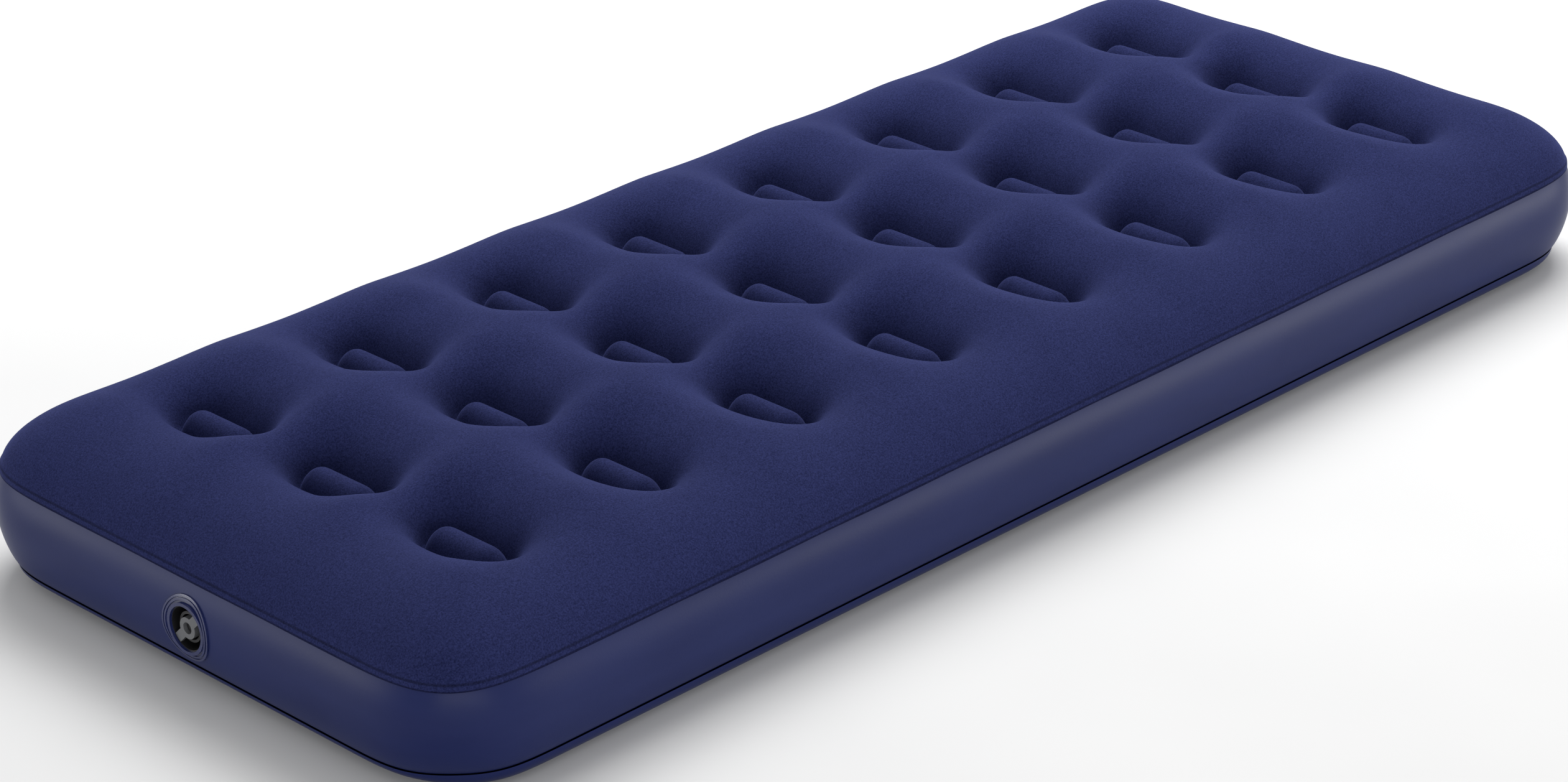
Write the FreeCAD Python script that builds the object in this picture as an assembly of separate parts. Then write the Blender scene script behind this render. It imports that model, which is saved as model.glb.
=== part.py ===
import FreeCAD, Part
import math
import os

from FreeCAD import Placement, Rotation, Vector

# A single flocked air bed, inflated, in millimetres. X runs along its length, Z is up, and the origin is on
# the floor under its middle. The sheets are drawn thicker than real PVC, so that they stay closed solids.

# The bed
LENGTH = 1850
WIDTH = 760
HEIGHT = 202
BOTTOM_SEAM_Z = 22
TOP_SEAM_Z = 117
BULGE = 12
CORNER_RADIUS = 105
SHEET = 3
TOP_SHOULDER = 80
BOTTOM_SHOULDER = 18

# The coils, and the dimples that they pull into both sheets
ROWS = 3
COLUMNS = 8
ROW_PITCH = 188
COLUMN_PITCH = 207
COIL_WIDTH = 56
COIL_LENGTH = 112
COIL_WALL = 2.5
AIR_HOLE_RADIUS = 12
MOUTH_WIDTH = 130
MOUTH_LENGTH = 168
TOP_DIMPLE_Z = 165
BOTTOM_DIMPLE_Z = 44

# The valve, in the middle of the short side at -X. Its depths are measured inwards from its mouth.
# First its soft base:
VALVE_Z = (BOTTOM_SEAM_Z + TOP_SEAM_Z) / 2
VALVE_FACE_X = -LENGTH / 2 - 1
FLANGE_RADIUS = 35
TUBE_RADIUS = 27.5
MOUTH_RADIUS = 24
MOUTH_DEPTH = 3
SOCKET_RADIUS = 24.4
TUBE_DEPTH = 28
LIP_RADIUS = 20
LIP_THICKNESS = 2
BEAD_WIDTH = 2
BEAD_HEIGHT = 1.8
FLANGE_HEIGHT = 0.8

# the rigid housing inside the base, with the tube that the air goes through:
HOUSING_WALL = 1.5
HOUSING_FLOOR = 2
SEAT_OUTER_RADIUS = 16.3
SEAT_INNER_RADIUS = 13.5
SEAT_FRONT = 7

# the spider, whose hub guides the stem:
HUB_RADIUS = 11.4
HUB_HOLE_RADIUS = 6.2
ARM_WIDTH = 10
ARM_ANGLE = 45

# and what moves: the stem, its button and spring, and the disc with its seal.
STEM_RADIUS = 2
STEM_CLEARANCE = 0.05
STEM_TRAVEL = 5
BUTTON_RADIUS = 5.5
BUTTON_FRONT = 7
BUTTON_THICKNESS = 2
SPRING_WIRE_RADIUS = 0.5
SPRING_RADIUS = 4.2
SPRING_TURNS = 3
SPRING_SOLID_LENGTH = 3.5
HUB_FLOOR = BUTTON_FRONT + BUTTON_THICKNESS + STEM_TRAVEL + SPRING_SOLID_LENGTH
HUB_DEPTH = HUB_FLOOR + 4
SEAL_GAP = 0.3
SEAL_THICKNESS = 1.2
SEAL_HOLE_RADIUS = 10
DISC_RADIUS = 18.5
DISC_THICKNESS = 2
STEM_HEAD_RADIUS = 3.2
STEM_HEAD_THICKNESS = 1

ORIGIN = Vector(0, 0, 0)
X_AXIS = Vector(1, 0, 0)
Y_AXIS = Vector(0, 1, 0)
Z_AXIS = Vector(0, 0, 1)


def save(name, shape):
    """Write one piece to its own file."""
    shape.exportStep(f"parts/{name}.step")


def rounded_outline(half_length, half_width, radius):
    """A rectangle with rounded corners, as one closed wire at z = 0."""
    edges = []
    for turn in range(4):
        reach, across = (half_length, half_width) if turn % 2 == 0 else (half_width, half_length)
        run = across - radius
        slant = radius * math.cos(math.pi / 4)
        start = Vector(reach, -run, 0)
        end = Vector(reach, run, 0)
        middle = Vector(reach - radius + slant, run + slant, 0)
        corner_end = Vector(reach - radius, across, 0)
        for edge in (Part.makeLine(start, end), Part.Arc(end, middle, corner_end).toShape()):
            edges.append(edge.rotated(ORIGIN, Z_AXIS, 90 * turn))
    return Part.Wire(edges)


def rounded_block(inset, bottom, top, shoulder):
    """The bed's outline, moved in by the inset, between two heights, with a rounded top edge."""
    outline = rounded_outline(LENGTH / 2 - inset, WIDTH / 2 - inset, CORNER_RADIUS - inset)
    outline.translate(Vector(0, 0, bottom))
    block = Part.Face(outline).extrude(Vector(0, 0, top - bottom))
    rim = [edge for edge in block.Edges if abs(edge.BoundBox.ZMin - top) < 0.001]
    return block.makeFillet(shoulder, rim)


def stadium(width, length, z):
    """An oval outline with two straight sides along Y."""
    radius = width / 2
    run = length / 2 - radius
    right = Part.makeLine(Vector(radius, -run, z), Vector(radius, run, z))
    far = Part.Arc(Vector(radius, run, z), Vector(0, run + radius, z), Vector(-radius, run, z))
    left = Part.makeLine(Vector(-radius, run, z), Vector(-radius, -run, z))
    near = Part.Arc(Vector(-radius, -run, z), Vector(0, -run - radius, z), Vector(radius, -run, z))
    return Part.Wire([right, far.toShape(), left, near.toShape()])


def dimple(floor, top, grow):
    """The space of one dimple, from its floor up to its mouth, made larger all round by an amount."""
    low = stadium(COIL_WIDTH + 2 * grow, COIL_LENGTH + 2 * grow, floor - grow)
    high = stadium(MOUTH_WIDTH + 2 * grow, MOUTH_LENGTH + 2 * grow, top)
    return Part.makeLoft([low, high], True, True)


def coil_places():
    """The name and the centre of each coil."""
    places = []
    for row in range(ROWS):
        for column in range(COLUMNS):
            x = (column - (COLUMNS - 1) / 2) * COLUMN_PITCH
            y = (row - (ROWS - 1) / 2) * ROW_PITCH
            places.append((f"coil_r{row + 1}_c{column + 1}", Vector(x, y, 0)))
    return places


def quilted_sheet(seam, top, floor, shoulder):
    """A sheet that rises from its seam to a flat top, with a dimple over each coil."""
    inset = BULGE
    shell = rounded_block(inset, seam, top, shoulder)
    shell = shell.cut(rounded_block(inset + SHEET, seam, top - SHEET, shoulder - SHEET))
    walls = []
    hollows = []
    for _, centre in coil_places():
        walls.append(dimple(floor, top, SHEET).translated(centre))
        hollow = dimple(floor, top, 0)
        hollow = hollow.fuse(Part.Face(stadium(MOUTH_WIDTH, MOUTH_LENGTH, top)).extrude(Z_AXIS))
        hollows.append(hollow.translated(centre))
    return shell.multiFuse(walls).cut(Part.makeCompound(hollows))


def top_sheet():
    return quilted_sheet(TOP_SEAM_Z, HEIGHT, TOP_DIMPLE_Z, TOP_SHOULDER)


def bottom_sheet():
    """The same kind of sheet, upside down, with its flat side on the floor."""
    sheet = quilted_sheet(-BOTTOM_SEAM_Z, 0, -BOTTOM_DIMPLE_Z, BOTTOM_SHOULDER)
    return sheet.mirror(ORIGIN, Z_AXIS)


def coil():
    """An oval tube, open at both ends, with an air hole through each long wall."""
    low = BOTTOM_DIMPLE_Z + SHEET
    high = TOP_DIMPLE_Z - SHEET
    outside = Part.Face(stadium(COIL_WIDTH, COIL_LENGTH, low))
    inside = Part.Face(stadium(COIL_WIDTH - 2 * COIL_WALL, COIL_LENGTH - 2 * COIL_WALL, low))
    tube = outside.cut(inside).extrude(Vector(0, 0, high - low))
    hole_start = Vector(-COIL_WIDTH, 0, (low + high) / 2)
    return tube.cut(Part.makeCylinder(AIR_HOLE_RADIUS, 2 * COIL_WIDTH, hole_start, X_AXIS))


def bulge_arc(radius_out, grow):
    """The band's cross-section in the XZ plane: an arc from seam to seam, at a distance out from Z."""
    middle_z = (BOTTOM_SEAM_Z + TOP_SEAM_Z) / 2
    seam = radius_out - BULGE + grow
    low = Vector(seam, 0, BOTTOM_SEAM_Z)
    middle = Vector(radius_out + grow, 0, middle_z)
    high = Vector(seam, 0, TOP_SEAM_Z)
    return Part.Arc(low, middle, high).toShape()


def bulge_face(radius_out, outer_grow, inner_grow):
    """The face between two such arcs."""
    outer = bulge_arc(radius_out, outer_grow)
    inner = bulge_arc(radius_out, inner_grow)
    bottom = Part.makeLine(inner.Vertexes[0].Point, outer.Vertexes[0].Point)
    top = Part.makeLine(outer.Vertexes[1].Point, inner.Vertexes[1].Point)
    return Part.Face(Part.Wire([outer, top, inner, bottom]))


def side_band():
    """The bulging strip round the bed: a turned piece at each corner and a straight one on each side."""
    profile = bulge_face(CORNER_RADIUS, 0, -SHEET)
    run_x = LENGTH / 2 - CORNER_RADIUS
    run_y = WIDTH / 2 - CORNER_RADIUS
    pieces = []
    for turn, (side_x, side_y) in enumerate(((1, 1), (-1, 1), (-1, -1), (1, -1))):
        centre = Vector(side_x * run_x, side_y * run_y, 0)
        face = profile.rotated(ORIGIN, Z_AXIS, 90 * turn).translated(centre)
        pieces.append(face.revolve(centre, Z_AXIS, 90))
        run = 2 * run_y if turn % 2 == 0 else 2 * run_x
        back = Rotation(Z_AXIS, 90 * turn).multVec(Vector(0, -run, 0))
        pieces.append(face.extrude(back))
    band = pieces[0].multiFuse(pieces[1:]).removeSplitter()
    hole = Part.makeCylinder(FLANGE_RADIUS, 40, Vector(VALVE_FACE_X - 5, 0, VALVE_Z), X_AXIS)
    return band.cut(hole)


def in_valve(shape):
    """Turn a valve piece, drawn with its depth along Z, to face out of the short side."""
    return shape.transformed(
        Placement(Vector(VALVE_FACE_X, 0, VALVE_Z), Rotation(Y_AXIS, 90)).toMatrix())


def turned(*points):
    """The solid that an outline of (radius, depth) points makes when it is turned about the valve's axis."""
    corners = [Vector(radius, 0, depth) for radius, depth in points]
    outline = Part.makePolygon(corners + corners[:1])
    return Part.Face(outline).revolve(ORIGIN, Z_AXIS, 360)


def pipe(inner, outer, start, end):
    """A plain ring about the valve's axis, between two depths."""
    return turned((inner, start), (outer, start), (outer, end), (inner, end))


def curved_flange(inner, outer, height):
    """A ring that follows the band's bulge and stands out from it by a height."""
    face = bulge_face(LENGTH / 2, height, -SHEET)
    plate = face.extrude(Vector(0, 4 * FLANGE_RADIUS, 0))
    plate.rotate(ORIGIN, Z_AXIS, 180)
    plate.translate(Vector(0, 2 * FLANGE_RADIUS, 0))
    return plate.common(in_valve(pipe(inner, outer, -5, 15)))


def valve_base():
    """The soft flange and tube, with two beads round the flange and a lip that holds the housing in."""
    lip_front = TUBE_DEPTH - LIP_THICKNESS
    tube = turned((MOUTH_RADIUS, 0), (TUBE_RADIUS, 0), (TUBE_RADIUS, TUBE_DEPTH), (LIP_RADIUS, TUBE_DEPTH),
                  (LIP_RADIUS, lip_front), (SOCKET_RADIUS, lip_front), (SOCKET_RADIUS, MOUTH_DEPTH),
                  (MOUTH_RADIUS, MOUTH_DEPTH))
    flange = curved_flange(TUBE_RADIUS, FLANGE_RADIUS, FLANGE_HEIGHT)
    inner_bead = curved_flange(TUBE_RADIUS + BEAD_WIDTH, TUBE_RADIUS + 2 * BEAD_WIDTH, BEAD_HEIGHT)
    outer_bead = curved_flange(FLANGE_RADIUS - BEAD_WIDTH, FLANGE_RADIUS, BEAD_HEIGHT)
    return in_valve(tube).multiFuse([flange, inner_bead, outer_bead])


def valve_housing():
    """A rigid cup: an outer wall, a floor, and a tube in the middle that the air goes through."""
    end = TUBE_DEPTH - LIP_THICKNESS
    floor = end - HOUSING_FLOOR
    inside = SOCKET_RADIUS - HOUSING_WALL
    return in_valve(turned(
        (SOCKET_RADIUS, MOUTH_DEPTH), (SOCKET_RADIUS, end), (SEAT_INNER_RADIUS, end),
        (SEAT_INNER_RADIUS, SEAT_FRONT), (SEAT_OUTER_RADIUS, SEAT_FRONT), (SEAT_OUTER_RADIUS, floor),
        (inside, floor), (inside, MOUTH_DEPTH)))


def valve_spider():
    """A hub that guides the stem, held by two arms that lie on the front of the housing's tube."""
    guide = STEM_RADIUS + STEM_CLEARANCE
    hub = turned((HUB_HOLE_RADIUS, MOUTH_DEPTH), (HUB_RADIUS, MOUTH_DEPTH), (HUB_RADIUS, HUB_DEPTH),
                 (guide, HUB_DEPTH), (guide, HUB_FLOOR), (HUB_HOLE_RADIUS, HUB_FLOOR))
    reach = SOCKET_RADIUS - HOUSING_WALL
    bar = Part.makeBox(2 * reach, ARM_WIDTH, SEAT_FRONT - MOUTH_DEPTH, Vector(-reach, -ARM_WIDTH / 2, MOUTH_DEPTH))
    bar.rotate(ORIGIN, Z_AXIS, ARM_ANGLE)
    arms = bar.common(pipe((HUB_HOLE_RADIUS + HUB_RADIUS) / 2, reach, MOUTH_DEPTH, SEAT_FRONT))
    return in_valve(hub.fuse(arms))


def valve_disc():
    """The plate behind the seat that stops the air."""
    front = TUBE_DEPTH - LIP_THICKNESS + SEAL_GAP + SEAL_THICKNESS
    return in_valve(pipe(STEM_RADIUS, DISC_RADIUS, front, front + DISC_THICKNESS))


def valve_seal():
    """The rubber ring on the plate's front."""
    front = TUBE_DEPTH - LIP_THICKNESS + SEAL_GAP
    return in_valve(pipe(SEAL_HOLE_RADIUS, DISC_RADIUS, front, front + SEAL_THICKNESS))


def valve_stem():
    """The rod from the button to the plate, with a head behind the plate."""
    start = BUTTON_FRONT + BUTTON_THICKNESS / 2
    disc_back = TUBE_DEPTH - LIP_THICKNESS + SEAL_GAP + SEAL_THICKNESS + DISC_THICKNESS
    end = disc_back + STEM_HEAD_THICKNESS
    return in_valve(turned((0, start), (STEM_RADIUS, start), (STEM_RADIUS, disc_back),
                           (STEM_HEAD_RADIUS, disc_back), (STEM_HEAD_RADIUS, end), (0, end)))


def stem_button():
    """The cap on the stem's outer end."""
    back = BUTTON_FRONT + BUTTON_THICKNESS
    pocket = BUTTON_FRONT + BUTTON_THICKNESS / 2
    return in_valve(turned((0, BUTTON_FRONT), (BUTTON_RADIUS, BUTTON_FRONT), (BUTTON_RADIUS, back),
                           (STEM_RADIUS, back), (STEM_RADIUS, pocket), (0, pocket)))


def valve_spring():
    """The coil spring between the button and the floor of the hub's recess."""
    margin = 0.05
    start = BUTTON_FRONT + BUTTON_THICKNESS + SPRING_WIRE_RADIUS + margin
    length = HUB_FLOOR - SPRING_WIRE_RADIUS - margin - start
    path = Part.makeHelix(length / SPRING_TURNS, length, SPRING_RADIUS)
    path.translate(Vector(0, 0, start))
    section = Part.Wire(Part.makeCircle(SPRING_WIRE_RADIUS, Vector(SPRING_RADIUS, 0, start), Y_AXIS))
    return in_valve(path.makePipeShell([section], True, True))


os.makedirs("parts", exist_ok=True)
save("top_sheet", top_sheet())
save("side_band", side_band())
save("bottom_sheet", bottom_sheet())
for name, place in coil_places():
    save(name, coil().translated(place))
save("valve_base", valve_base())
save("valve_housing", valve_housing())
save("valve_spider", valve_spider())
save("valve_disc", valve_disc())
save("valve_seal", valve_seal())
save("valve_stem", valve_stem())
save("stem_button", stem_button())
save("valve_spring", valve_spring())
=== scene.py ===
"""The air mattress as it looks: soft sheets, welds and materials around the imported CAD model."""
import math

import bpy
import numpy as np
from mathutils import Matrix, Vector


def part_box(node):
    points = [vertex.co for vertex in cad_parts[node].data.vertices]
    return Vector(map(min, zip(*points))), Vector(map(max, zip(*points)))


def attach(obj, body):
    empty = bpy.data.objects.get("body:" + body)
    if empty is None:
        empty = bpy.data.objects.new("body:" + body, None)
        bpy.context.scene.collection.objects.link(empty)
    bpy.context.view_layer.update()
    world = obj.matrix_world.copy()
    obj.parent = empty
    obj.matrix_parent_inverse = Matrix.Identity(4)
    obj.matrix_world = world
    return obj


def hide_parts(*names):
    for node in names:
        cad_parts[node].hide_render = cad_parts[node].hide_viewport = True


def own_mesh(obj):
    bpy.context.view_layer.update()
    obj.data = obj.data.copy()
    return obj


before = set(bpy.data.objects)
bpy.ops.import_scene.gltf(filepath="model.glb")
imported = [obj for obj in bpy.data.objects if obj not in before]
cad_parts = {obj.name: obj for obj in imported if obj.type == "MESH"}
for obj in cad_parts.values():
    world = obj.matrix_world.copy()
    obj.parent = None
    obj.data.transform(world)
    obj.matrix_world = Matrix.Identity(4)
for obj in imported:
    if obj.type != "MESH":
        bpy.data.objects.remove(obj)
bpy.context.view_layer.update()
scene = bpy.context.scene

# Driving dimensions, in metres. The frame is the CAD's: floor at z = 0, valve at -X. The seams' outline is a
# rectangle whose corners start CORNER_REACH from its ends and follow a superellipse of CORNER_POWER.
BULGE = 0.012
band_low, band_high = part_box("side_band")
SEAM_X = float(band_high[0]) - BULGE
SEAM_Y = float(band_high[1]) - BULGE
TOP_SEAM_Z = float(band_high[2])
BOTTOM_SEAM_Z = float(band_low[2])
CORNER_REACH = 0.157
CORNER_POWER = 3.9

# The coils, and the oval weld loops that join them to the top and bottom sheets
ROWS = 3
COLUMNS = 8
ROW_PITCH = 0.188
COLUMN_PITCH = 0.207
LOOP_RADIUS = 0.025
LOOP_STRAIGHT = 0.028
TOP_LOOP_Z = 0.131
BOTTOM_LOOP_Z = 0.044
WELD_WIDTH = 0.007

# ---------------------------------------------------------------- small helpers


def mesh_object(name, points, faces, material):
    """A smooth-shaded mesh piece that rides on the bed."""
    mesh = bpy.data.meshes.new(name)
    mesh.from_pydata([tuple(p) for p in points], [], [tuple(f) for f in faces])
    mesh.materials.append(material)
    mesh.polygons.foreach_set("use_smooth", [True] * len(mesh.polygons))
    mesh.update()
    piece = bpy.data.objects.new(name, mesh)
    scene.collection.objects.link(piece)
    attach(piece, "bed")
    return piece


def grid_faces(rows, columns, closed=False, flip=False):
    """The quads of a grid of points that runs row by row. A closed grid also joins its last column to its
    first."""
    across = np.arange(columns if closed else columns - 1)
    row, column = np.meshgrid(np.arange(rows - 1), across, indexing="ij")
    after = (column + 1) % columns
    corners = [row * columns + column, row * columns + after,
               (row + 1) * columns + after, (row + 1) * columns + column]
    quads = np.stack(corners, axis=-1).reshape(-1, 4)
    return quads[:, ::-1] if flip else quads


def coil_places():
    """The name and the middle of each coil, row by row from -Y."""
    for row in range(ROWS):
        for column in range(COLUMNS):
            x = (column - (COLUMNS - 1) / 2) * COLUMN_PITCH
            y = (row - (ROWS - 1) / 2) * ROW_PITCH
            yield f"coil_r{row + 1}_c{column + 1}", x, y


def from_loop(x, y):
    """Distance outwards from a weld loop round the origin, negative inside it."""
    along = np.maximum(np.abs(y) - LOOP_STRAIGHT, 0)
    return np.hypot(x, along) - LOOP_RADIUS


# ---------------------------------------------------------------- the outline of the seams

PLAIN_SPACING = 0.006


def edge_share(x, y):
    """0 well inside the seams' outline and 1 on it. It has no crease towards the corners."""
    share_x = np.clip(1 - (SEAM_X - np.abs(x)) / CORNER_REACH, 0, None)
    share_y = np.clip(1 - (SEAM_Y - np.abs(y)) / CORNER_REACH, 0, None)
    return (share_x ** CORNER_POWER + share_y ** CORNER_POWER) ** (1 / CORNER_POWER)


def axis_lines(half, fineness, edge_lines):
    """Grid lines across one axis, close together near the seams. Twice the fineness is twice the gaps."""
    straight = half - CORNER_REACH
    gaps = int(2 * round(straight / PLAIN_SPACING) * fineness)
    inner = np.linspace(-straight, straight, gaps + 1)
    outer = straight + CORNER_REACH * np.sin(np.arange(1, edge_lines + 1) / edge_lines * math.pi / 2)
    return np.concatenate([-outer[::-1], inner, outer])


def outline_grid(fineness, edge_lines):
    """A grid of points that fills the seams' outline, with its rim on the outline."""
    lines_x = axis_lines(SEAM_X, fineness, edge_lines)
    lines_y = axis_lines(SEAM_Y, fineness, edge_lines)
    gx, gy = np.meshgrid(lines_x, lines_y)
    share_x = np.clip(np.abs(gx) - (SEAM_X - CORNER_REACH), 0, None) / CORNER_REACH
    share_y = np.clip(np.abs(gy) - (SEAM_Y - CORNER_REACH), 0, None) / CORNER_REACH
    round_x = share_x * (1 - share_y ** CORNER_POWER / 2) ** (1 / CORNER_POWER)
    round_y = share_y * (1 - share_x ** CORNER_POWER / 2) ** (1 / CORNER_POWER)
    x = np.sign(gx) * (np.minimum(np.abs(gx), SEAM_X - CORNER_REACH) + CORNER_REACH * round_x)
    y = np.sign(gy) * (np.minimum(np.abs(gy), SEAM_Y - CORNER_REACH) + CORNER_REACH * round_y)
    return x, y


def drawn_in(x, y, amount):
    """Moves points at the corners inwards, most of all in the middle of a corner."""
    share_x = np.clip(1 - (SEAM_X - np.abs(x)) / CORNER_REACH, 0, 1) ** CORNER_POWER
    share_y = np.clip(1 - (SEAM_Y - np.abs(y)) / CORNER_REACH, 0, 1) ** CORNER_POWER
    shift = 4 * share_x * share_y * amount / math.sqrt(2)
    return x - np.sign(x) * shift, y - np.sign(y) * shift


def outline_path(spacing):
    """Evenly spaced points round the seams' outline, anticlockwise, and the outward direction at each."""
    turn = np.linspace(0, math.pi / 2, 400)
    corner_x = SEAM_X - CORNER_REACH + CORNER_REACH * np.cos(turn) ** (2 / CORNER_POWER)
    corner_y = SEAM_Y - CORNER_REACH + CORNER_REACH * np.sin(turn) ** (2 / CORNER_POWER)
    corner = np.stack([corner_x, corner_y], axis=1)
    quarters = [corner, corner[::-1] * (-1, 1), corner * (-1, -1), corner[::-1] * (1, -1)]
    dense = np.concatenate(quarters + [corner[:1]])
    length = np.concatenate([[0], np.cumsum(np.linalg.norm(np.diff(dense, axis=0), axis=1))])
    count = int(round(length[-1] / spacing))
    where = np.arange(count) / count * length[-1]
    path = np.stack([np.interp(where, length, dense[:, i]) for i in (0, 1)], axis=1)
    ahead = np.roll(path, -1, axis=0) - np.roll(path, 1, axis=0)
    ahead /= np.linalg.norm(ahead, axis=1)[:, None]
    return path, np.stack([ahead[:, 1], -ahead[:, 0]], axis=1)


# ---------------------------------------------------------------- how air swells the top sheet

SHOULDER_RISE = 0.075
CROWN_RISE = 0.016
DIMPLE_RADIUS = 0.122
DIMPLE_POWER = 0.6
VALLEY = 0.004
RIDGE_RISE = 0.031
SAG = 0.013
SAG_RADIUS = 0.130
SAG_EDGE = 6
SAG_MERGE = 4


def swollen(share):
    """How far a sheet has risen, from 0 where it is held to 1 where it is level."""
    return (1 - (1 - np.clip(share, 0, 1)) ** 2) ** DIMPLE_POWER


def crown_height(x, y):
    """The top sheet without its dimples: a round shoulder inside the seam, and a slightly fuller middle."""
    share = np.clip(edge_share(x, y), 0, 1)
    depth = 1 - share
    fuller = depth ** 2 * (3 - 2 * depth)
    return TOP_SEAM_Z + SHOULDER_RISE * np.sqrt(1 - share ** 2) + CROWN_RISE * fuller


def top_height(x, y):
    """The top sheet: round bowls down to the weld loops, and a rounded ridge inside each loop. The whole
    sheet also sags a little round each loop, and the sags merge with no crease."""
    pads = np.ones_like(x)
    ridges = np.zeros_like(x)
    pulled = np.zeros_like(x)
    middle = math.hypot(LOOP_RADIUS, VALLEY) - VALLEY
    for _, loop_x, loop_y in coil_places():
        away = from_loop(x - loop_x, y - loop_y)
        softened = np.sqrt(away ** 2 + VALLEY ** 2) - VALLEY
        from_middle = np.hypot(x - loop_x, y - loop_y)
        to_rim = np.clip(DIMPLE_RADIUS - from_middle, 0, None)
        pulled += (1 + (from_middle / SAG_RADIUS) ** SAG_EDGE) ** -SAG_MERGE
        pads *= np.where(away > 0, swollen(softened / (softened + to_rim)), 0)
        ridges += np.where(away < 0, np.sqrt(1 - (1 - np.clip(softened / middle, 0, 1)) ** 2), 0)
    crown = crown_height(x, y) - SAG * pulled ** (1 / SAG_MERGE)
    return TOP_LOOP_Z + (crown - TOP_LOOP_Z) * pads + RIDGE_RISE * ridges


# ---------------------------------------------------------------- materials


def new_material(name):
    """A node material, with its nodes, its links and its shader."""
    material = bpy.data.materials.new(name)
    material.use_nodes = True
    nodes = material.node_tree.nodes
    shader = nodes["Principled BSDF"]
    return material, nodes, material.node_tree.links, shader


def noise(nodes, links, coordinates, scale, detail=2.0, roughness=0.5, stretch=(1, 1, 1)):
    """Noise from 0 to 1, with about as many spots to a metre as its scale."""
    mapping = nodes.new("ShaderNodeMapping")
    mapping.inputs["Scale"].default_value = stretch
    links.new(coordinates, mapping.inputs["Vector"])
    texture = nodes.new("ShaderNodeTexNoise")
    texture.inputs["Scale"].default_value = scale
    texture.inputs["Detail"].default_value = detail
    texture.inputs["Roughness"].default_value = roughness
    links.new(mapping.outputs["Vector"], texture.inputs["Vector"])
    return texture.outputs["Fac"]


def ramp(nodes, links, value, low, high, low_at=0.3, high_at=0.7):
    """A colour between two others, as a value goes between two positions."""
    node = nodes.new("ShaderNodeValToRGB")
    node.color_ramp.elements[0].position = low_at
    node.color_ramp.elements[0].color = (*low, 1)
    node.color_ramp.elements[1].position = high_at
    node.color_ramp.elements[1].color = (*high, 1)
    links.new(value, node.inputs["Fac"])
    return node.outputs["Color"]


def span(nodes, links, value, low, high):
    """A number between two others, as a noise value goes through its usual range."""
    node = nodes.new("ShaderNodeMapRange")
    node.inputs["From Min"].default_value = 0.25
    node.inputs["From Max"].default_value = 0.75
    node.inputs["To Min"].default_value = low
    node.inputs["To Max"].default_value = high
    links.new(value, node.inputs["Value"])
    return node.outputs["Result"]


def mix(nodes, links, share, a, b, kind="MIX"):
    """Two colours mixed, with b's share of the result."""
    node = nodes.new("ShaderNodeMix")
    node.data_type = "RGBA"
    node.blend_type = kind
    node.inputs["Factor"].default_value = share
    links.new(a, node.inputs["A"])
    links.new(b, node.inputs["B"])
    return node.outputs["Result"]


def bump(nodes, links, shader, height, distance):
    """Fine relief on a shader, at half strength, with its depth in metres."""
    node = nodes.new("ShaderNodeBump")
    node.inputs["Distance"].default_value = distance
    node.inputs["Strength"].default_value = 0.5
    links.new(height, node.inputs["Height"])
    links.new(node.outputs["Normal"], shader.inputs["Normal"])


def painted_seam_shade(nodes, links, place):
    """White, with painted shade: dark at the top seam's crease and along a thin line at the weld's inner
    edge, where the strip steps out.
    """
    axes = nodes.new("ShaderNodeSeparateXYZ")
    links.new(place, axes.inputs["Vector"])
    strip = nodes.new("ShaderNodeMapRange")
    strip.inputs["From Min"].default_value = TOP_SEAM_Z
    strip.inputs["From Max"].default_value = TOP_SEAM_Z + 2 * WELD_WIDTH
    links.new(axes.outputs["Z"], strip.inputs["Value"])
    painted_shade_lines = nodes.new("ShaderNodeValToRGB")
    painted_shade_lines.color_ramp.elements[0].position = 0.04
    painted_shade_lines.color_ramp.elements[1].position = 0.12
    painted_shade_lines.color_ramp.elements[0].color = (0.4, 0.4, 0.45, 1)
    for position, shade in ((0.38, 1.0), (0.46, 0.55), (0.54, 0.55), (0.62, 1.0)):
        painted_shade_lines.color_ramp.elements.new(position).color = (shade, shade, shade, 1)
    links.new(strip.outputs["Result"], painted_shade_lines.inputs["Fac"])
    return painted_shade_lines.outputs["Color"]


def flocked_pvc():
    """Short velvety flock: fine speckled fibre over broad faint patches, with a blue sheen."""
    material, nodes, links, shader = new_material("flocked_navy_pvc")
    place = nodes.new("ShaderNodeTexCoord").outputs["Object"]
    fibre = noise(nodes, links, place, 560, 3.0, 0.8)
    nap = noise(nodes, links, place, 22, 4.0, 0.6)
    speckle = ramp(nodes, links, fibre, (0.003, 0.004, 0.026), (0.028, 0.034, 0.120), 0.35, 0.65)
    patches = ramp(nodes, links, nap, (0.008, 0.012, 0.048), (0.012, 0.017, 0.064))
    cloth_colour = mix(nodes, links, 0.45, speckle, patches)
    # Painted shade: the flock is darkened at the top seam and along the weld's inner edge.
    colour = mix(nodes, links, 1.0, cloth_colour, painted_seam_shade(nodes, links, place), "MULTIPLY")
    links.new(colour, shader.inputs["Base Color"])
    shader.inputs["Roughness"].default_value = 0.95
    shader.inputs["Specular IOR Level"].default_value = 0.08
    shader.inputs["Sheen Weight"].default_value = 0.16
    shader.inputs["Sheen Roughness"].default_value = 0.35
    shader.inputs["Sheen Tint"].default_value = (0.20, 0.25, 0.75, 1)
    bump(nodes, links, shader, fibre, 0.0006)
    return material


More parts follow.
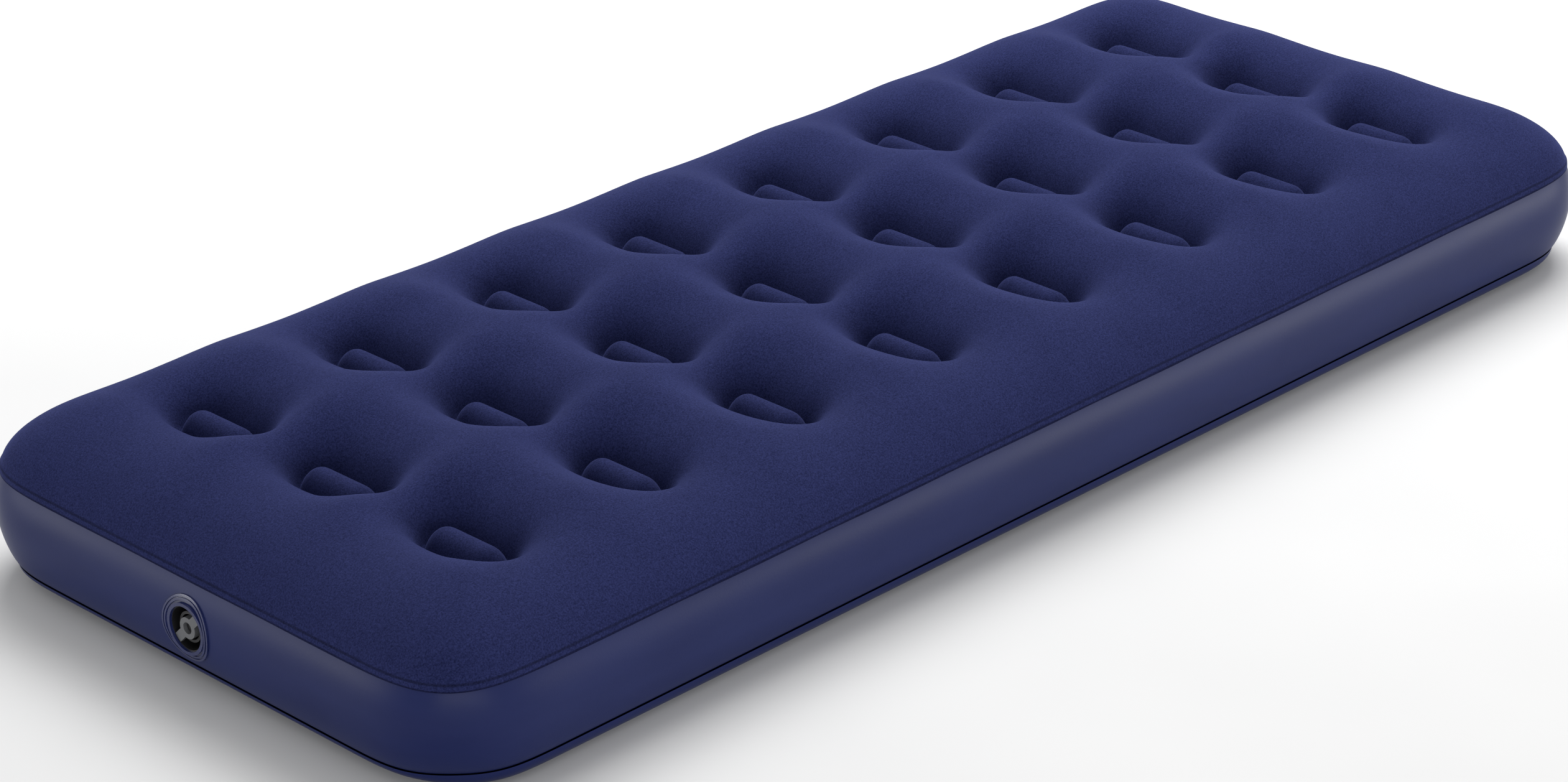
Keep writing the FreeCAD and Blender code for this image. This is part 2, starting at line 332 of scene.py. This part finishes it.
def smooth_pvc():
    """Plain soft PVC with a soft gloss that varies a little along the sheet."""
    material, nodes, links, shader = new_material("smooth_navy_pvc")
    place = nodes.new("ShaderNodeTexCoord").outputs["Object"]
    streaks = noise(nodes, links, place, 6, 3.0, 0.5, (1, 1, 4))
    grain = noise(nodes, links, place, 420, 2.0)
    colour = ramp(nodes, links, streaks, (0.009, 0.014, 0.066), (0.012, 0.018, 0.078))
    links.new(colour, shader.inputs["Base Color"])
    links.new(span(nodes, links, streaks, 0.37, 0.43), shader.inputs["Roughness"])
    shader.inputs["Specular IOR Level"].default_value = 0.13
    bump(nodes, links, shader, grain, 0.00012)
    return material


def plastic(name, low, high, roughness):
    """A moulded finish: two near colours that flow into each other, and a fine grain."""
    material, nodes, links, shader = new_material(name)
    place = nodes.new("ShaderNodeTexCoord").outputs["Object"]
    grain = noise(nodes, links, place, 1500, 2.0)
    flow = noise(nodes, links, place, 60, 3.0)
    links.new(ramp(nodes, links, flow, low, high), shader.inputs["Base Color"])
    links.new(span(nodes, links, flow, roughness - 0.05, roughness + 0.05), shader.inputs["Roughness"])
    bump(nodes, links, shader, grain, 0.00005)
    return material


flock = flocked_pvc()
pvc = smooth_pvc()
soft_valve = plastic("moulded_navy_pvc", (0.009, 0.014, 0.066), (0.013, 0.019, 0.082), 0.25)
grey = plastic("grey_plastic", (0.085, 0.088, 0.095), (0.11, 0.114, 0.12), 0.4)
dark = plastic("dark_plastic", (0.004, 0.004, 0.005), (0.007, 0.007, 0.008), 0.5)
rubber = plastic("black_rubber", (0.010, 0.010, 0.010), (0.016, 0.016, 0.016), 0.7)
steel = plastic("spring_steel_wire", (0.5, 0.5, 0.5), (0.6, 0.6, 0.6), 0.3)
steel.node_tree.nodes["Principled BSDF"].inputs["Metallic"].default_value = 1.0

# ---------------------------------------------------------------- the top sheet

EDGE_LINES = 30
WELD_STEP = 0.0012
WELD_SLOPE = 0.002
WELD_FROM_SHARE = 0.8
HELD_FROM_SHARE = 0.96
HELD_ROUND_LOOP = 0.004
CLOTH_FRAMES = 16
CLOTH_PRESSURE = 20.0
MOST_SWELL = 0.005


def outward_at(x, y):
    """The level direction out of the seams' outline, found from how edge_share grows."""
    step = 1e-5
    share = edge_share(x, y)
    slope_x = edge_share(x + step, y) - share
    slope_y = edge_share(x, y + step) - share
    slope = np.maximum(np.hypot(slope_x, slope_y), 1e-9)
    return slope_x / slope, slope_y / slope


def top_points(x, y):
    """Points on the top sheet. Its welded edge strip stands out a little above the seam."""
    z = top_height(x, y)
    above_seam = z - TOP_SEAM_Z
    near_seam = edge_share(x, y) > WELD_FROM_SHARE
    strip = WELD_STEP * np.clip(1 - (above_seam - WELD_WIDTH) / WELD_SLOPE, 0, 1) * near_seam
    out_x, out_y = outward_at(x, y)
    return np.stack([x + out_x * strip, y + out_y * strip, z], axis=-1)


def swell_by_cloth(points, held):
    """Runs Blender's Cloth on a grid of points under pressure from below, with the held points pinned.
    Returns how far each point moved, never more than MOST_SWELL."""
    sheet = mesh_object("top_sheet_trial", points.reshape(-1, 3), grid_faces(*held.shape), flock)
    pins = sheet.vertex_groups.new(name="held")
    pins.add(np.flatnonzero(held.ravel()).tolist(), 1.0, "REPLACE")
    cloth = sheet.modifiers.new("cloth", "CLOTH")
    cloth.settings.vertex_group_mass = "held"
    cloth.settings.quality = 4
    cloth.settings.mass = 0.02
    cloth.settings.tension_stiffness = 40
    cloth.settings.compression_stiffness = 40
    cloth.settings.shear_stiffness = 10
    cloth.settings.bending_stiffness = 1
    cloth.settings.use_pressure = True
    cloth.settings.uniform_pressure_force = CLOTH_PRESSURE
    cloth.settings.effector_weights.gravity = 0
    cloth.collision_settings.use_collision = False
    cloth.point_cache.frame_start = 1
    cloth.point_cache.frame_end = CLOTH_FRAMES
    for step in range(1, CLOTH_FRAMES + 1):
        scene.frame_set(step)
    swollen_sheet = sheet.evaluated_get(bpy.context.evaluated_depsgraph_get())
    moved = np.empty(points.size)
    swollen_sheet.data.vertices.foreach_get("co", moved)
    scene.frame_set(1)
    bpy.data.objects.remove(sheet)
    moved = moved.reshape(points.shape) - points
    length = np.linalg.norm(moved, axis=-1, keepdims=True)
    return moved * np.minimum(1, MOST_SWELL / np.maximum(length, 1e-9))


def refined(grid):
    """A grid of values with the middle of each gap added, along both axes."""
    for axis in (0, 1):
        count = grid.shape[axis]
        first = np.take(grid, np.arange(2 * count - 1) // 2, axis=axis)
        second = np.take(grid, np.arange(1, 2 * count) // 2, axis=axis)
        grid = (first + second) / 2
    return grid


x, y = outline_grid(1, EDGE_LINES)
swell = np.zeros(x.shape + (3,))
held = edge_share(x, y) > HELD_FROM_SHARE
for _, loop_x, loop_y in coil_places():
    held |= from_loop(x - loop_x, y - loop_y) < HELD_ROUND_LOOP
swell = swell_by_cloth(top_points(x, y), held)
fine_x, fine_y = outline_grid(2, 2 * EDGE_LINES)
points = top_points(fine_x, fine_y) + refined(swell)
top = mesh_object("top_sheet_flocked", points.reshape(-1, 3), grid_faces(*fine_x.shape), flock)
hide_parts("top_sheet")

# ---------------------------------------------------------------- the bottom sheet

END_REACH = 0.075
SIDE_REACH = 0.03
CORNER_DRAW = 0.011
LIFT_REACH = 0.012


def bottom_height(x, y):
    """The bottom sheet: flat on the floor, lifted by each coil, and turned up to the seam. The turn starts
    further in at the ends than along the sides."""
    share = edge_share(x, y)
    inwards = (1 - share) * CORNER_REACH
    share_x = np.clip(1 - (SEAM_X - np.abs(x)) / CORNER_REACH, 1e-3, 1) ** CORNER_POWER
    share_y = np.clip(1 - (SEAM_Y - np.abs(y)) / CORNER_REACH, 1e-3, 1) ** CORNER_POWER
    reach = (share_x * END_REACH + share_y * SIDE_REACH) / (share_x + share_y)
    under = np.sqrt(np.clip(1 - np.clip(1 - inwards / reach, 0, 1) ** 2, 0, 1))
    lift = np.zeros_like(x)
    for _, loop_x, loop_y in coil_places():
        lift += np.exp(-np.clip(from_loop(x - loop_x, y - loop_y), 0, None) / LIFT_REACH)
    return BOTTOM_SEAM_Z * (1 - under) + BOTTOM_LOOP_Z * lift


x, y = outline_grid(0.75, 40)
under_x, under_y = drawn_in(x, y, CORNER_DRAW)
points = np.stack([under_x, under_y, bottom_height(x, y)], axis=-1).reshape(-1, 3)
bottom = mesh_object("bottom_sheet_smooth", points, grid_faces(*x.shape, flip=True), pvc)
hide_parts("bottom_sheet")

# ---------------------------------------------------------------- the side band

BAND_STEPS = 40
BAND_SPACING = 0.005
BAND_EVENNESS = 0.4
TUCK = 0.003
TUCK_HEIGHT = 0.0025
valve_low, valve_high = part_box("valve_base")
VALVE_Y = float(valve_low[1] + valve_high[1]) / 2
VALVE_Z = float(valve_low[2] + valve_high[2]) / 2
HOLE_RADIUS = 0.031
VALVE_SIDE_X = -0.9


def band_profile(height):
    """How far the band stands out from the seams, for heights from 0 at the bottom seam to 1 at the top: an
    arc, tucked in just above the bottom seam."""
    chord = TOP_SEAM_Z - BOTTOM_SEAM_Z
    radius = (chord ** 2 / 4 + BULGE ** 2) / (2 * BULGE)
    out = np.sqrt(radius ** 2 - ((height - 0.5) * chord) ** 2) - (radius - BULGE)
    return out - TUCK * np.exp(-height * chord / TUCK_HEIGHT)


# The levels crowd towards both seams, where the band tucks in.
path, outward = outline_path(BAND_SPACING)
crowded = 0.5 - 0.5 * np.cos(np.linspace(0, math.pi, BAND_STEPS + 1))
heights = (1 - BAND_EVENNESS) * crowded + BAND_EVENNESS * np.linspace(0, 1, BAND_STEPS + 1)
levels = []
for height, out in zip(heights, band_profile(heights)):
    x, y = drawn_in(path[:, 0], path[:, 1], CORNER_DRAW * (1 - height))
    z = np.full_like(x, BOTTOM_SEAM_Z + (TOP_SEAM_Z - BOTTOM_SEAM_Z) * height)
    levels.append(np.stack([x + outward[:, 0] * out, y + outward[:, 1] * out, z], axis=1))
points = np.concatenate(levels)
faces = grid_faces(len(levels), len(path), closed=True)

# The hole for the valve, in the short side at -X only
from_valve = np.hypot(points[:, 1] - VALVE_Y, points[:, 2] - VALVE_Z)
from_valve[points[:, 0] > VALVE_SIDE_X] = HOLE_RADIUS
faces = faces[~(from_valve[faces] < HOLE_RADIUS).any(axis=1)]
band = mesh_object("side_band_smooth", points, faces, pvc)
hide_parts("side_band")

# ---------------------------------------------------------------- the coils inside

COIL_STEPS = 12
COIL_SIDES = 48
COIL_GAP = 0.001
WAIST = 0.10
COIL_HEIGHT = TOP_LOOP_Z - BOTTOM_LOOP_Z


def coil_points(middle_x, middle_y):
    """An oval tube between the two sheets, a little narrower half way up, ring by ring."""
    turn = np.linspace(0, 2 * math.pi, COIL_SIDES, endpoint=False)
    side = np.sign(np.round(np.sin(turn), 6))
    rings = []
    for level in np.linspace(0, 1, COIL_STEPS + 1):
        radius = LOOP_RADIUS * (1 - WAIST * math.sin(math.pi * level))
        x = middle_x + radius * np.cos(turn)
        y = middle_y + radius * np.sin(turn) + LOOP_STRAIGHT * side
        z = np.full_like(x, BOTTOM_LOOP_Z + COIL_GAP + (COIL_HEIGHT - 2 * COIL_GAP) * level)
        rings.append(np.stack([x, y, z], axis=1))
    return np.concatenate(rings)


coil_faces = grid_faces(COIL_STEPS + 1, COIL_SIDES, closed=True)
for name, middle_x, middle_y in coil_places():
    coil = mesh_object(name + "_film", coil_points(middle_x, middle_y), coil_faces, pvc)
    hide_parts(name)

# ---------------------------------------------------------------- the valve's spring

WIRE_RADIUS = 0.0005
SPRING_TURNS = 3
SPRING_STEPS = 120
WIRE_SIDES = 12

spring_low, spring_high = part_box("valve_spring")
SPRING_RADIUS = float(spring_high[1] - spring_low[1]) / 2 - WIRE_RADIUS


def spring_points():
    """A helix of round wire about the valve's axis, ring by ring, as long as the CAD's spring."""
    share = np.linspace(0, 1, SPRING_STEPS + 1)[:, None]
    turn = 2 * math.pi * SPRING_TURNS * share
    side = 2 * math.pi * np.arange(WIRE_SIDES)[None, :] / WIRE_SIDES
    radius = SPRING_RADIUS + WIRE_RADIUS * np.cos(side)
    front = float(spring_low[0]) + WIRE_RADIUS
    back = float(spring_high[0]) - WIRE_RADIUS
    x = front + (back - front) * share + WIRE_RADIUS * np.sin(side)
    y = VALVE_Y + radius * np.sin(turn)
    z = VALVE_Z - radius * np.cos(turn)
    return np.stack([x, y, z], axis=-1).reshape(-1, 3)


wire_faces = grid_faces(SPRING_STEPS + 1, WIRE_SIDES, closed=True, flip=True).tolist()
first_end = list(range(WIRE_SIDES))
last_end = [SPRING_STEPS * WIRE_SIDES + side for side in reversed(range(WIRE_SIDES))]
spring = mesh_object("valve_spring_wire", spring_points(), wire_faces + [first_end, last_end], steel)
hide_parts("valve_spring")
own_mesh(spring)

# ---------------------------------------------------------------- the valve's CAD nodes, which stay

VALVE_MATERIALS = {"valve_base": soft_valve, "valve_housing": dark, "valve_spider": grey, "valve_disc": grey,
                   "valve_seal": rubber, "valve_stem": grey, "stem_button": dark}
for node, material in VALVE_MATERIALS.items():
    for material_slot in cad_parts[node].material_slots:
        material_slot.material = material

# ---------------------------------------------------------------- stage, lights and camera

FLOOR_HALF = 30
FLOOR_Z = -0.0006


def stage_material():
    """A pale, matt floor that is very slightly uneven in shade."""
    material, nodes, links, shader = new_material("pale_floor")
    place = nodes.new("ShaderNodeTexCoord").outputs["Object"]
    shade = ramp(nodes, links, noise(nodes, links, place, 3), (0.62, 0.62, 0.62), (0.64, 0.64, 0.64))
    links.new(shade, shader.inputs["Base Color"])
    shader.inputs["Roughness"].default_value = 0.9
    return material


floor_mesh = bpy.data.meshes.new("floor")
floor_corners = [(x * FLOOR_HALF, y * FLOOR_HALF, FLOOR_Z) for x, y in ((-1, -1), (1, -1), (1, 1), (-1, 1))]
floor_mesh.from_pydata(floor_corners, [], [(0, 1, 2, 3)])
floor_mesh.materials.append(stage_material())
floor = bpy.data.objects.new("floor", floor_mesh)
scene.collection.objects.link(floor)

world = bpy.data.worlds.new("studio")
world.use_nodes = True
world.node_tree.nodes["Background"].inputs["Color"].default_value = (1, 1, 1, 1)
world.node_tree.nodes["Background"].inputs["Strength"].default_value = 0.6
scene.world = world


def area_light(name, place, aim, size, power):
    """A rectangular softbox that faces a point, with its size in metres and its power in watts."""
    data = bpy.data.lights.new(name, "AREA")
    data.shape = "RECTANGLE"
    data.size, data.size_y = size
    data.energy = power
    lamp = bpy.data.objects.new(name, data)
    lamp.location = place
    lamp.rotation_euler = (Vector(aim) - Vector(place)).to_track_quat("-Z", "Y").to_euler()
    scene.collection.objects.link(lamp)


area_light("back", (1.7, 1.2, 3.4), (0, 0, 0), (3.5, 2.4), 215)
area_light("front_left", (-2.6, -3.2, 0.8), (-0.8, -0.38, 0.1), (4.2, 0.6), 50)
area_light("long_side", (3.7, -3.5, 0.45), (0.3, -0.38, 0.1), (3.2, 0.8), 80)
area_light("short_side", (-3.7, 3.0, 0.45), (-0.92, 0.1, 0.1), (2.4, 0.8), 45)

CAMERA_AZIMUTH = math.radians(-46.29)
CAMERA_ELEVATION = math.radians(25.42)
CAMERA_DISTANCE = 4.613
CAMERA_TARGET = Vector((-0.1446, -0.1266, 0.1))
data = bpy.data.cameras.new("camera")
data.sensor_width = 36
data.lens = 99.22
data.shift_x = -0.0328
data.shift_y = -0.0007
camera = bpy.data.objects.new("camera", data)
back = Vector((math.sin(CAMERA_AZIMUTH) * math.cos(CAMERA_ELEVATION),
               -math.cos(CAMERA_AZIMUTH) * math.cos(CAMERA_ELEVATION), math.sin(CAMERA_ELEVATION)))
camera.location = CAMERA_TARGET + back * CAMERA_DISTANCE
camera.rotation_euler = (-back).to_track_quat("-Z", "Y").to_euler()
scene.collection.objects.link(camera)
scene.camera = camera
scene.view_settings.view_transform = "Standard"
